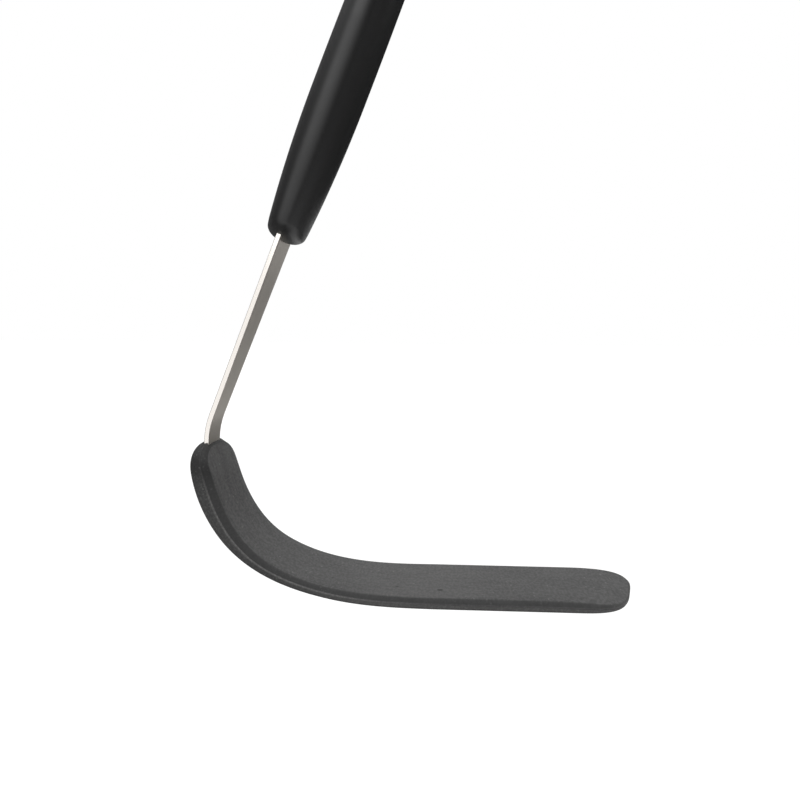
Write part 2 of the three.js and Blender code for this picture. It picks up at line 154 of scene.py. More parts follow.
class Value:
    """Output of a shader node, as a number, a colour or a vector that takes part in arithmetic."""

    def __init__(self, graph: "Graph", made: bpy.types.Node, output: str | int = 0) -> None:
        """Keep where the value comes from.

        Args:
            graph: Graph that the node belongs to.
            made: The node.
            output: Name or number of its output.
        """
        self.graph = graph
        self.made = made
        self.output = output

    @property
    def socket(self) -> bpy.types.NodeSocket:
        """Socket that the value comes from."""
        return self.made.outputs[self.output]

    def out(self, output: str | int) -> "Value":
        """Another output of the same node."""
        return Value(self.graph, self.made, output)

    def _arithmetic(self, operation: str, first: Any, second: Any) -> "Value":
        """Add the node of one operation.

        Args:
            operation: Name of the operation, which Math and Vector Math share.
            first: Left operand, a Value or a number.
            second: Right operand, a Value, a number or three numbers.

        Returns:
            The result as a Value.
        """
        vector = self.socket.type in ("VECTOR", "RGBA")
        kind = "ShaderNodeVectorMath" if vector else "ShaderNodeMath"
        return self.graph.node(kind, {"operation": operation}, {0: first, 1: second})

    def __add__(self, other: Any) -> "Value":
        """Sum, also with the value on the right."""
        return self._arithmetic("ADD", self, other)

    __radd__ = __add__

    def __sub__(self, other: Any) -> "Value":
        """Difference."""
        return self._arithmetic("SUBTRACT", self, other)

    def __rsub__(self, other: Any) -> "Value":
        """Difference with the value on the right."""
        return self._arithmetic("SUBTRACT", other, self)

    def __mul__(self, other: Any) -> "Value":
        """Product, also with the value on the right."""
        return self._arithmetic("MULTIPLY", self, other)

    __rmul__ = __mul__

    def __abs__(self) -> "Value":
        """Size without sign."""
        return self._arithmetic("ABSOLUTE", self, 0.0)

    def above(self, low: float, high: float) -> "Value":
        """Share that rises with the value and is eased at both ends.

        Args:
            low: Value at which the share is 0.
            high: Value at which the share is 1.

        Returns:
            The share.
        """
        settings = {"interpolation_type": "SMOOTHSTEP"}
        sockets = {"Value": self, "From Min": low, "From Max": high}
        return self.graph.node("ShaderNodeMapRange", settings, sockets)


class Graph:
    """Node tree of one material or of the world."""

    def __init__(self, tree: bpy.types.NodeTree) -> None:
        """Empty the tree."""
        self.tree = tree
        tree.nodes.clear()

    def node(self, kind: str, settings: dict[str, Any], sockets: dict[str | int, Any]) -> Value:
        """Add a node.

        Args:
            kind: Type of the node.
            settings: Properties of the node, set before its sockets.
            sockets: Values or links of the input sockets, by name or number. Colours are opaque.

        Returns:
            The node's first output.
        """
        made = self.tree.nodes.new(kind)
        for name, setting in settings.items():
            setattr(made, name, setting)
        for key, value in sockets.items():
            socket = made.inputs[key]
            if isinstance(value, Value):
                self.tree.links.new(value.socket, socket)
            else:
                socket.default_value = (*value, 1.0) if socket.type == "RGBA" else value
        return Value(self, made)

    def attribute(self, name: str, output: str) -> Value:
        """Attribute stored on the mesh, as its Fac or Vector output."""
        return self.node("ShaderNodeAttribute", {"attribute_name": name}, {}).out(output)

    def coordinates(self, output: str) -> Value:
        """Texture coordinates of the object, such as Object or Normal."""
        return self.node("ShaderNodeTexCoord", {}, {}).out(output)

    def millimetres(self) -> Value:
        """Place on the object in millimetres."""
        return self.coordinates("Object") * even(1 / MILLIMETRE)

    def mix(self, share: Any, start: Any, end: Any) -> Value:
        """Colour a share of the way from start to end."""
        sockets = {MIX_SHARE: share, MIX_START: start, MIX_END: end}
        return self.node("ShaderNodeMix", {"data_type": "RGBA"}, sockets).out(MIX_RESULT)

    def bump(self, height: Value, depth: float) -> Value:
        """Normal of a surface with a relief of that depth in millimetres."""
        sockets = {"Height": height, "Strength": 1.0, "Distance": depth * MILLIMETRE}
        return self.node("ShaderNodeBump", {}, sockets)


class Finish:
    """Look of one material."""

    name: str

    def shader(self, graph: Graph) -> Value:
        """Add the nodes of the look and return its shader."""
        raise NotImplementedError

    def material(self) -> bpy.types.Material:
        """Build the material.

        Returns:
            The new material.
        """
        made = bpy.data.materials.new(self.name)
        made.use_nodes = True
        graph = Graph(made.node_tree)
        graph.node("ShaderNodeOutputMaterial", {}, {"Surface": self.shader(graph)})
        return made


@dataclass(frozen=True)
class Noise:
    """Soft noise, with the range that it is eased over where it is used as a share."""

    stretch: Triple = even(1.0)
    scale: float = 1.0
    detail: float = 3.0
    eased: Pair | None = None

    def at(self, place: Value) -> Value:
        """Read the noise.

        Args:
            place: Where it is read.

        Returns:
            A number around one half, or a share from 0 to 1 once it is eased.
        """
        sockets = {"Vector": place * self.stretch, "Scale": self.scale, "Detail": self.detail}
        found = place.graph.node("ShaderNodeTexNoise", {}, sockets)
        return found.above(*self.eased) if self.eased else found


@dataclass(frozen=True)
class Specks:
    """Scattered round specks, one in a share of the cells.

    The size is a speck's radius in cells, and the core is the solid share of that radius.
    """

    stretch: Triple
    scale: float
    size: float
    share: float
    core: float = 0.4
    step: float = 0.01

    def at(self, place: Value) -> Value:
        """Lay out the specks.

        Args:
            place: Where they lie.

        Returns:
            1 in the middle of a speck and 0 outside it.
        """
        sockets = {"Vector": place * self.stretch, "Scale": self.scale}
        cells = place.graph.node("ShaderNodeTexVoronoi", {}, sockets)
        near = 1 - cells.out("Distance").above(self.size * self.core, self.size)
        sockets = {"Color": cells.out("Color")}
        red = place.graph.node("ShaderNodeSeparateColor", {}, sockets)
        return near * red.above(1 - self.share, 1 - self.share + self.step)


@dataclass(frozen=True)
class SiliconeFinish(Finish):
    """Matt moulded silicone: faint mottling, dust, rubbed streaks and a pale mould line, with painted
    light and shade.

    A pair is the stretch along the blade, through its depth or of a noise over which something sets in.
    """

    name: str = "silicone"
    deep: Colour = even(0.05)
    pale: Colour = (0.088, 0.087, 0.087)
    dust: Colour = (0.2, 0.199, 0.196)
    # The pit colour also paints the shade near the root.
    pit_and_root_shade: Colour = even(0.025)
    mould_line: Colour = (0.21, 0.208, 0.205)
    cloud: Noise = Noise((0.05, 0.09, 0.09), eased=(0.3, 0.7))
    streak: Noise = Noise((0.12, 1.6, 1.6), eased=(0.35, 0.65))
    grain: Noise = Noise(scale=1.7)
    mottle: Noise = Noise((1.0, 0.45, 1.0), scale=1.3, detail=2.0, eased=(0.36, 0.64))
    fine: Noise = Noise(scale=6.0, detail=1.0)
    patch: Noise = Noise(even(0.16), detail=2.0, eased=(0.4, 0.62))
    rub: Noise = Noise((0.06, 0.5, 0.5), eased=(0.38, 0.62))
    specks: Specks = Specks((1.0, 0.5, 1.0), scale=0.85, size=0.34, share=0.35)
    scatter: Specks = Specks((1.0, 0.7, 1.3), scale=1.5, size=0.36, share=0.3)
    pits: Specks = Specks((0.5, 0.6, 1.0), scale=0.22, size=0.09, share=0.3)
    nick: Triple = (93.6, -9.7, 1.6)
    nick_edge: Pair = (0.5, 1.2)
    line_start: Pair = (5.0, 17.0)
    line_end: Pair = (58.0, 94.0)
    line_grain: Pair = (0.42, 0.6)
    root_end: Pair = (2.0, 16.0)
    rub_end: Pair = (10.0, 42.0)
    wall_start: Pair = (4.0, 11.0)
    wall_grain: Pair = (0.48, 0.64)
    level_start: Pair = (40.0, 75.0)
    # Painted shade deep on the outer wall under the level stretch.
    shade_start: Pair = (30.0, 70.0)
    shade_depth: Pair = (0.8, 1.7)
    # Painted light where the bend runs out, painted shade along the level stretch, plain again at the
    # tip.
    painted_light_start: Pair = (58.0, 80.0)
    painted_shade_start: Pair = (92.0, 120.0)
    painted_shade_end: Pair = (126.0, 142.0)
    tip_rim: Pair = (141.0, 148.0)
    relief_depth: float = 0.045

    def shader(self, graph: Graph) -> Value:
        """Add the nodes, which read the flat, mould_line and wall attributes of the blade.

        Args:
            graph: Graph of the material.

        Returns:
            The shader.
        """
        flat = graph.attribute("flat", "Vector")
        wall = graph.attribute("wall", "Fac")
        parts = graph.node("ShaderNodeSeparateXYZ", {}, {"Vector": flat})
        along = parts.out("X")
        depth = parts.out("Z") * -1.0
        streak = self.streak.at(flat)
        grain = self.grain.at(flat)
        mottle = self.mottle.at(flat)
        specks = self.specks.at(flat) * 0.5 + self.scatter.at(flat) * 0.35
        dust = specks * (0.15 + self.patch.at(flat) * 0.85)
        inner_wall = wall.above(0.0, 1.0)
        outer_wall = (wall * -1.0).above(0.0, 1.0)
        root = 1 - along.above(*self.root_end)
        away = graph.node("ShaderNodeVectorMath", {"operation": "DISTANCE"}, {0: flat, 1: self.nick})
        pits = self.pits.at(flat) + (1 - away.out("Value").above(*self.nick_edge))
        clouded = self.cloud.at(flat) * 0.25 + streak * 0.1 + mottle * 0.65
        body = graph.mix(clouded, self.deep, self.pale)
        # The inner wall is a deeper colour than the faces and takes less dust.
        inner_wall_darkened = graph.mix(inner_wall * 0.7, body, self.deep)
        # Painted shade: near the root both walls are darkened towards the pit colour, standing in for a
        # shadow from above.
        root_painted_shade = graph.mix((outer_wall + inner_wall * 0.9) * root, inner_wall_darkened, self.pit_and_root_shade)
        rim = inner_wall * along.above(*self.tip_rim) * 0.26
        # The dust share also carries the painted shade of the outer wall and the painted light and
        # shade of the faces.
        dust_and_painted_shading = dust * (1 - inner_wall * 0.6) + rim
        dust_and_painted_shading = dust_and_painted_shading + outer_wall * self.wall_dust_and_painted_shade(along, depth, grain)
        dust_and_painted_shading = dust_and_painted_shading + (1 - inner_wall) * (1 - outer_wall) * self.face_wear_and_painted_shading(flat, along, root)
        dusty = graph.mix(dust_and_painted_shading, root_painted_shade, self.dust)
        pitted = graph.mix(pits * 0.95, dusty, self.pit_and_root_shade)
        line = graph.attribute("mould_line", "Fac") * self.line_share(along, grain)
        relief = grain * 0.4 + mottle * 0.3 + self.fine.at(flat) * 0.3 - pits * 0.8
        return graph.node("ShaderNodeBsdfPrincipled", {}, {
            "Base Color": graph.mix(line, pitted, self.mould_line),
            "Roughness": 0.58 + streak * 0.1 + dust * 0.3,
            "IOR": 1.42,
            "Specular IOR Level": 0.3,
            "Normal": graph.bump(relief, self.relief_depth),
        })

    def wall_dust_and_painted_shade(self, along: Value, depth: Value, grain: Value) -> Value:
        """Dust on the outer wall, with painted shade that darkens it deep under the level stretch.

        Args:
            along: Distance along the blade.
            depth: Depth below the centreline.
            grain: Noise that breaks the dust up.

        Returns:
            Share of dust, lowered where shade is painted.
        """
        # Painted shade: the outer wall takes less dust, and so darkens, deep under the level stretch.
        shade = depth.above(*self.shade_depth) * along.above(*self.shade_start)
        dust_and_painted_shading = 0.15 + along.above(*self.level_start) * 0.4 + grain.above(*self.wall_grain) * 0.26
        return dust_and_painted_shading * along.above(*self.wall_start) * (1 - shade)

    def face_wear_and_painted_shading(self, flat: Value, along: Value, root: Value) -> Value:
        """Dust on the faces, rubbed streaks near the root, and painted light and shade: lighter where
        the bend runs out, darker on the level stretch and plain again at the tip.

        Args:
            flat: Place on the blade laid flat.
            along: Distance along the blade.
            root: Share that is 1 at the root.

        Returns:
            Share of dust and of painted light and shade.
        """
        rubbed = (1 - along.above(*self.rub_end)) * self.rub.at(flat)
        # Painted light and shade: lighter where the bend runs out, darker along the level stretch.
        painted_light_and_shade = along.above(*self.painted_light_start) - along.above(*self.painted_shade_start) * 1.5
        return root * 0.05 + rubbed * 0.13 + (painted_light_and_shade + along.above(*self.painted_shade_end) * 0.5) * 0.13

    def line_share(self, along: Value, grain: Value) -> Value:
        """Strength of the mould line, which fades at the root and on the level stretch."""
        shown = along.above(*self.line_start) * (1 - along.above(*self.line_end) * 0.8)
        return shown * (0.55 + grain.above(*self.line_grain) * 0.45)


@dataclass(frozen=True)
class SoftGripFinish(Finish):
    """Soft-touch rubber of the grip: nearly black, satin, with a fine grain and worn patches."""

    name: str = "soft_grip"
    deep: Colour = (0.012, 0.012, 0.0125)
    pale: Colour = (0.02, 0.02, 0.0205)
    dust: Colour = even(0.07)
    worn: Noise = Noise(even(0.08), eased=(0.35, 0.7))
    grain: Noise = Noise(scale=3.2, detail=2.0)
    pale_grain: Pair = (0.3, 0.7)
    lint: Specks = Specks(even(1.0), scale=0.7, size=0.16, share=0.16)
    relief_depth: float = 0.012

    def shader(self, graph: Graph) -> Value:
        """Add the nodes, which lie in the object's own millimetres.

        Args:
            graph: Graph of the material.

        Returns:
            The shader.
        """
        place = graph.millimetres()
        grain = self.grain.at(place)
        lint = self.lint.at(place) * 0.35
        worn = self.worn.at(place)
        body = graph.mix(worn * 0.7 + grain.above(*self.pale_grain) * 0.3, self.deep, self.pale)
        return graph.node("ShaderNodeBsdfPrincipled", {}, {
            "Base Color": graph.mix(lint, body, self.dust),
            "Roughness": 0.42 - worn * 0.06 + grain * 0.06,
            "IOR": 1.5,
            "Specular IOR Level": 0.5,
            "Normal": graph.bump(grain, self.relief_depth),
        })


@dataclass(frozen=True)
class MouldedPlasticFinish(Finish):
    """Hard satin plastic of the handle's core."""

    name: str = "hard_plastic"
    deep: Colour = (0.022, 0.022, 0.024)
    pale: Colour = (0.034, 0.034, 0.036)
    cloud: Noise = Noise(scale=0.2)
    pale_cloud: Pair = (0.3, 0.7)
    spark: Noise = Noise(scale=4.0, detail=1.0)
    relief_depth: float = 0.008

    def shader(self, graph: Graph) -> Value:
        """Add the nodes, which lie in the object's own millimetres.

        Args:
            graph: Graph of the material.

        Returns:
            The shader.
        """
        place = graph.millimetres()
        cloud = self.cloud.at(place)
        return graph.node("ShaderNodeBsdfPrincipled", {}, {
            "Base Color": graph.mix(cloud.above(*self.pale_cloud), self.deep, self.pale),
            "Roughness": 0.34 + cloud * 0.12,
            "Normal": graph.bump(self.spark.at(place), self.relief_depth),
        })


@dataclass(frozen=True)
class SteelFinish(Finish):
    """Steel brushed along one direction, with its narrow edges brighter: partly polished steel, partly
    a painted highlight.
    """

    name: str
    face: Colour
    edge: Colour
    stain: Colour
    along: Triple
    roughness: float
    drawn_share: float = 0.985
    brush: Noise = Noise(scale=5.0, detail=4.0)
    fine: Noise = Noise(scale=14.0, detail=2.0)
    cloud: Noise = Noise(scale=0.12, eased=(0.35, 0.65))
    dark_lines: Pair = (0.35, 0.65)
    narrow_side: Pair = (0.55, 0.8)
    brush_depth: float = 0.004

    def shader(self, graph: Graph) -> Value:
        """Add the nodes of a metal whose scratches run along the direction.

        Args:
            graph: Graph of the material.

        Returns:
            The shader.
        """
        place = graph.millimetres()
        sockets = {0: place, 1: self.along}
        level = graph.node("ShaderNodeVectorMath", {"operation": "DOT_PRODUCT"}, sockets)
        sockets = {0: self.along, "Scale": level.out("Value")}
        shift = graph.node("ShaderNodeVectorMath", {"operation": "SCALE"}, sockets)
        drawn = place - shift * even(self.drawn_share)
        lines = self.brush.at(drawn) * 0.6 + self.fine.at(drawn) * 0.4
        sockets = {"Vector": graph.coordinates("Normal")}
        side = graph.node("ShaderNodeSeparateXYZ", {}, sockets).out("Y")
        # The narrow sides take the edge colour: partly polished steel, partly a painted highlight.
        narrow = abs(side).above(*self.narrow_side)
        stained = lines.above(*self.dark_lines) * 0.35 + self.cloud.at(place) * 0.3
        body = graph.mix(stained, self.face, self.stain)
        return graph.node("ShaderNodeBsdfPrincipled", {}, {
            "Base Color": graph.mix(narrow, body, self.edge),
            "Metallic": 1.0,
            "Roughness": self.roughness + lines * 0.12 - narrow * 0.2,
            "Normal": graph.bump(lines, self.brush_depth),
        })


@dataclass(frozen=True)
class FloorFinish(Finish):
    """Pale floor that the camera sees as white apart from the shadow on it."""

    name: str = "studio_floor"
    paint: float = 0.3
    glow: float = 0.8

    def shader(self, graph: Graph) -> Value:
        """Add the nodes of the floor.

        Args:
            graph: Graph of the material.

        Returns:
            The shader.
        """
        paint = graph.node("ShaderNodeBsdfDiffuse", {}, {"Color": even(self.paint)})
        glow = graph.node("ShaderNodeEmission", {}, {"Strength": self.glow})
        white = graph.node("ShaderNodeAddShader", {}, {0: paint, 1: glow})
        seen = background_rays(graph)
        return graph.node("ShaderNodeMixShader", {}, {0: seen, 1: paint, 2: white})


def background_rays(graph: Graph) -> Value:
    """1 for the rays that see the background as white, and 0 for the rays that carry its light."""
    path = graph.node("ShaderNodeLightPath", {}, {})
    return path.out(Ray.CAMERA.value) + path.out(Ray.GLOSSY.value) + path.out(Ray.TRANSMISSION.value)


def mesh_object(name: str, mesh: Mesh) -> Piece:
    """Turn a finished bmesh into a smooth object of the scene.

    Args:
        name: Name of the piece.
        mesh: The bmesh, which is freed.

    Returns:
        The new object.
    """
    data = bpy.data.meshes.new(name)
    mesh.to_mesh(data)
    mesh.free()
    data.shade_smooth()
    made = bpy.data.objects.new(name, data)
    bpy.context.scene.collection.objects.link(made)
    return made


def soften(piece: Piece, width: float, angle: float) -> None:
    """Round the sharp edges of a solid with modifiers.

    Args:
        piece: The object to round.
        width: Width of the rounding in millimetres.
        angle: Edges sharper than this many degrees are rounded.
    """
    weld = piece.modifiers.new("weld", "WELD")
    weld.merge_threshold = MERGE_DISTANCE
    rounding = piece.modifiers.new("rounding", "BEVEL")
    rounding.width = width * MILLIMETRE
    rounding.segments = ROUNDING_SEGMENTS
    rounding.limit_method = "ANGLE"
    rounding.angle_limit = math.radians(angle)
    piece.modifiers.new("weights", "WEIGHTED_NORMAL")


def dress_node(name: str, material: bpy.types.Material) -> Piece:
    """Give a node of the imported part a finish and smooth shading.

    Args:
        name: Name of the node.
        material: Its finish.

    Returns:
        The node's object.
    """
    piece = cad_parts[name]
    data = piece.data
    data.materials.clear()
    data.materials.append(material)
    normals = data.attributes.get("custom_normal")
    if normals is not None:
        data.attributes.remove(normals)
    data.shade_smooth()
    return piece


@dataclass(frozen=True)
class Centreline:
    """Line that the handle, the shank, the leaf and the blade share, seen from the side."""

    shank_tilt: float = math.radians(21.5)
    crank_radius: float = 23.5
    bend_radius: float = 39.8
    tight_angle: float = math.radians(48)
    level_length: float = 59.4
    level_height: float = 1.625
    shown_shank: float = 55.7
    ease_steps: int = 24

    @property
    def tight_length(self) -> float:
        """Length of the tight part of the bend."""
        return self.bend_radius * self.tight_angle

    @property
    def ease_length(self) -> float:
        """Length over which the bend eases out."""
        return 2 * self.bend_radius * (QUARTER_TURN - self.tight_angle)

    @property
    def bend_end(self) -> float:
        """Distance at which the level stretch starts."""
        return self.tight_length + self.ease_length

    @property
    def tip(self) -> float:
        """Distance of the blade's tip."""
        return self.bend_end + self.level_length

    @property
    def handle_front(self) -> float:
        """Distance of the handle's front."""
        return -self.crank_radius * self.shank_tilt - self.shown_shank

    def heading(self, distance: float) -> float:
        """Direction of the line.

        Args:
            distance: Distance along the line.

        Returns:
            Angle from straight down, positive towards the tip.
        """
        if distance < 0:
            return -min(-distance / self.crank_radius, self.shank_tilt)
        if distance < self.tight_length:
            return distance / self.bend_radius
        eased = min(distance - self.tight_length, self.ease_length)
        return self.tight_angle + (eased - eased**2 / (2 * self.ease_length)) / self.bend_radius

    def travel(self, distance: float) -> Pair:
        """Way from the upright point to another point of the line.

        Args:
            distance: Distance along the line.

        Returns:
            The way along X and along Z.
        """
        if distance < 0:
            arc = min(-distance, self.crank_radius * self.shank_tilt)
            angle = arc / self.crank_radius
            straight = -distance - arc
            across = self.crank_radius * (1 - math.cos(angle)) + straight * math.sin(angle)
            return across, self.crank_radius * math.sin(angle) + straight * math.cos(angle)
        angle = min(distance, self.tight_length) / self.bend_radius
        x = self.bend_radius * (1 - math.cos(angle))
        z = -self.bend_radius * math.sin(angle)
        eased = min(distance - self.tight_length, self.ease_length)
        if eased > 0:
            step = eased / self.ease_steps
            for i in range(self.ease_steps):
                way = self.heading(self.tight_length + (i + 0.5) * step)
                x += math.sin(way) * step
                z -= math.cos(way) * step
        return x + max(0.0, distance - self.bend_end), z

    def place(self, distance: float, offset: float, across: float) -> Vector:
        """Point near the line.

        Args:
            distance: Distance along the line.
            offset: Offset towards the hollow of the bend.
            across: Place across the width.

        Returns:
            The point in metres.
        """
        end_x, end_z = self.travel(self.bend_end)
        x, z = self.travel(distance)
        angle = self.heading(distance)
        point = Vector((
            x - end_x - self.level_length / 2 + offset * math.cos(angle),
            across,
            z - end_z + self.level_height + offset * math.sin(angle),
        ))
        return point * MILLIMETRE


@dataclass(frozen=True)
class Taper:
    """Size that rises from the blade's root to its shoulder, and then tapers to the level stretch."""

    root: float
    shoulder: float
    level: float
    start: float
    length: float
    root_place: float = -0.6
    shoulder_place: float = 12.0

    def at(self, distance: float) -> float:
        """Size at a place of the blade.

        Args:
            distance: Distance along the blade.

        Returns:
            The size.
        """
        if distance < self.shoulder_place:
            share = (self.shoulder_place - distance) / (self.shoulder_place - self.root_place)
            return between(self.shoulder, self.root, share**2)
        return between(self.shoulder, self.level, smooth((distance - self.start) / self.length))


@dataclass(frozen=True)
class Row:
    """One row of points across the blade, laid flat."""

    base: float
    pull: float
    reach: float
    closing: float
    end_share: float = 1.0

    def distance(self, margin: float) -> float:
        """Distance along the blade of the row's points that lie a margin inside the outline's sides."""
        return self.base + self.pull * (self.reach - margin * self.end_share)


@dataclass(frozen=True)
class Blade:
    """Silicone blade: two faces, walls bevelled to a mould line, a rounded root and a slanted tip."""

    line: Centreline
    root_rise: float = 0.6
    root_width: float = 31.0
    tip_width: float = 36.2
    root_round: float = 8.0
    root_power: float = 2.6
    tip_round: float = 15.0
    tip_power: float = 3.42
    tip_slant: float = math.radians(14.7)
    inner_bevel: float = 1.2
    outer_bevel: float = 0.6
    tip_bevel_share: float = 0.5
    tip_drop: float = 1.9
    tip_taper: float = 20.0
    height: Taper = Taper(root=1.3, shoulder=3.3, level=1.625, start=12.0, length=30.0)
    depth: Taper = Taper(root=2.5, shoulder=2.7, level=1.625, start=26.0, length=35.0)
    parting_rise: Taper = Taper(root=0.55, shoulder=0.55, level=0.0, start=12.0, length=28.0)
    flash: float = 0.1
    flash_foot: float = 0.22
    flash_step: float = 0.06
    flash_fade: float = 0.6
    wall_start: float = 0.4
    softness: float = 0.45
    row_step: float = 1.5
    end_steps: int = 32
    face_steps: int = 10
    corner_steps: int = 6
    flex_start: float = 15.0
    flex_end: float = 74.0

    @property
    def tip_start(self) -> float:
        """Distance at which the tip starts to round."""
        return self.line.tip - self.tip_round

    def half_width(self, row: Row, margin: float) -> float:
        """Half width of a row a margin inside the outline."""
        share = (row.distance(margin) + self.root_rise) / (self.line.bend_end + self.root_rise)
        return (between(self.root_width, self.tip_width, share) / 2 - margin) * row.closing

    def rows(self) -> list[Row]:
        """Lay out the rows of points.

        Returns:
            The rows from the root to the tip.
        """
        root_end = self.root_round - self.root_rise
        bend_steps = math.ceil((self.line.bend_end - root_end) / self.row_step)
        level_steps = math.ceil((self.tip_start - self.line.bend_end) / self.row_step)
        places = spread(root_end, self.line.bend_end, bend_steps)[1:]
        places += spread(self.line.bend_end, self.tip_start, level_steps)[1:]
        root = [Row(root_end, -reach, self.root_round, closing)
                for reach, closing in end_curve(self.root_power, self.end_steps)]
        tip = [Row(self.tip_start, reach, self.tip_round, closing, self.tip_bevel_share)
               for reach, closing in end_curve(self.tip_power, self.end_steps)]
        return root[::-1] + [Row(distance, 0, 0, 1) for distance in places] + tip[1:]

    def inner_height(self, distance: float) -> float:
        """Offset of the inner face, which drops to thin the tip."""
        share = clamp(1 - (self.line.tip - distance) / self.tip_taper)
        return self.height.at(distance) - self.tip_drop * share**2

    def parting(self, distance: float) -> float:
        """Offset of the mould line: midway between the faces, and somewhat higher near the root."""
        middle = (self.inner_height(distance) - self.depth.at(distance)) / 2
        return middle + self.parting_rise.at(distance)

    def wall_profile(self, rise: float, bevel: float) -> list[tuple[float, float, float, float]]:
        """Side wall from the mould line to a face that lies a rise beyond it.

        Args:
            rise: Distance of the face from the mould line through the thickness.
            bevel: Margin of the face's edge inside the outline.

        Returns:
            Margin inside the outline, distance from the mould line, mould line share and wall share.
        """
        slope = math.hypot(bevel, rise)
        # Thin walls have less room, so that their points stay in order.
        softness = min(self.softness, slope / 3)
        flash_foot = min(self.flash_foot, rise / 3)
        wall_start = min(self.wall_start, rise / 2)
        start = (bevel * (1 - softness / slope), rise * (1 - softness / slope))
        foot = (bevel * flash_foot / rise + self.flash_step, flash_foot)
        lowest = (bevel * wall_start / rise, wall_start)
        profile = [(0.0, self.flash, 1.0, 1.0), (*foot, self.flash_fade, 1.0), (*lowest, 0.0, 1.0)]
        for share in spread(0, 1, self.corner_steps):
            inner = (1 - share) ** 2
            middle = 2 * share * (1 - share)
            margin = inner * start[0] + middle * bevel + share**2 * (bevel + softness)
            height = inner * start[1] + (middle + share**2) * rise
            profile.append((margin, height, 0.0, 1 - smooth(share)))
        return profile

    def section(self, row: Row) -> list[tuple[float, float, float, float, float]]:
        """Points round the blade at a row.

        Args:
            row: The row.

        Returns:
            Distance, offset, place across, mould line share and wall share of each point. The wall
            share is positive on the inner wall and negative on the outer one.
        """
        parting = self.parting(row.distance(0))
        inner_offset = self.inner_height(row.distance(self.inner_bevel))
        outer_offset = -self.depth.at(row.distance(self.outer_bevel))
        loop = []
        for upward, face_offset, bevel in (
            (1, inner_offset, self.inner_bevel),
            (-1, outer_offset, self.outer_bevel),
        ):
            wall = self.wall_profile(abs(face_offset - parting), bevel)
            face_margin = wall[-1][0]
            face_half = self.half_width(row, face_margin)
            near = []
            for margin, rise, line, side in wall:
                across = -upward * self.half_width(row, margin)
                offset = parting + upward * rise
                near.append((row.distance(margin), offset, across, line, side * upward))
            face = [(row.distance(face_margin), face_offset, upward * place, 0.0, 0.0)
                    for place in spread(-face_half, face_half, self.face_steps)[1:-1]]
            far = [(distance, offset, -across, line, side)
                   for distance, offset, across, line, side in reversed(near)]
            loop += near + face + far
        return loop

    def slanted(self, distance: float, across: float) -> float:
        """Distance of a point once the tip's slant is laid over the level stretch."""
        share = (distance - self.line.bend_end) / (self.tip_start - self.line.bend_end)
        return distance + math.tan(self.tip_slant) * across * clamp(share)

    def mesh(self) -> Mesh:
        """Loft the rows into one closed skin.

        Returns:
            The skin with the attributes that its finish reads.
        """
        made = bmesh.new()
        flat = made.verts.layers.float_vector.new("flat")
        mould_line = made.verts.layers.float.new("mould_line")
        wall = made.verts.layers.float.new("wall")
        rings = []
        for row in self.rows():
            ring = []
            for distance, offset, across, line_share, wall_share in self.section(row):
                moved = self.slanted(distance, across)
                vertex = made.verts.new(self.line.place(moved, offset, across))
                vertex[flat] = (moved, across, offset)
                vertex[mould_line] = line_share
                vertex[wall] = wall_share
                ring.append(vertex)
            rings.append(ring)
        for lower, upper in zip(rings, rings[1:]):
            bridge(made, lower, upper)
        close_mesh(made)
        return made

    def build(self, finish: SiliconeFinish) -> Piece:
        """Make the blade in place of the imported one.

        Args:
            finish: Finish of the silicone.

        Returns:
            The blade's object.
        """
        piece = mesh_object("silicone_blade", self.mesh())
        piece.data.materials.append(finish.material())
        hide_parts("blade")
        self.flex(piece)
        return piece

    def flex(self, piece: Piece) -> None:
        """Bake a piece's placement into its mesh; the bend's start and end points are found but not
        used.

        Args:
            piece: The piece.
        """
        start = self.line.place(self.flex_start, 0, 0)
        end = self.line.place(self.flex_end, 0, 0)
        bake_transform(piece)


def bridge(mesh: Mesh, lower: Ring, upper: Ring, left_out: Container[int] = ()) -> None:
    """Join two closed rings of points by a band of faces.

    Args:
        mesh: The bmesh that holds the rings.
        lower: Points of one ring.
        upper: As many points of the next ring.
        left_out: Numbers of the faces that stay open.
    """
    for i in range(len(lower)):
        if i not in left_out:
            following = (i + 1) % len(lower)
            mesh.faces.new((lower[i], lower[following], upper[following], upper[i]))


def close_mesh(mesh: Mesh) -> None:
    """Merge coinciding points, drop faces without area and turn the faces outwards.

    Args:
        mesh: The bmesh to close.
    """
    bmesh.ops.remove_doubles(mesh, verts=mesh.verts, dist=MERGE_DISTANCE)
    bmesh.ops.dissolve_degenerate(mesh, edges=mesh.edges, dist=MERGE_DISTANCE)
    bmesh.ops.recalc_face_normals(mesh, faces=mesh.faces)


@dataclass(frozen=True)
class SpringLeaf:
    """Spring-steel leaf inside the blade."""

    blade: Blade
    edge_round: float = 0.12
    edge_angle: float = 40.0

    def build(self, finish: SteelFinish) -> Piece:
        """Make the leaf from its solid in place of the imported one.

        Args:
            finish: Finish of the spring steel.

        Returns:
            The leaf's object.
        """
        made = bmesh.new()
        made.from_mesh(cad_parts["blade_core"].data)
        close_mesh(made)
        piece = mesh_object("spring_leaf", made)
        piece.data.materials.clear()
        piece.data.materials.append(finish.material())
        soften(piece, self.edge_round, self.edge_angle)
        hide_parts("blade_core")
        self.blade.flex(piece)
        return piece


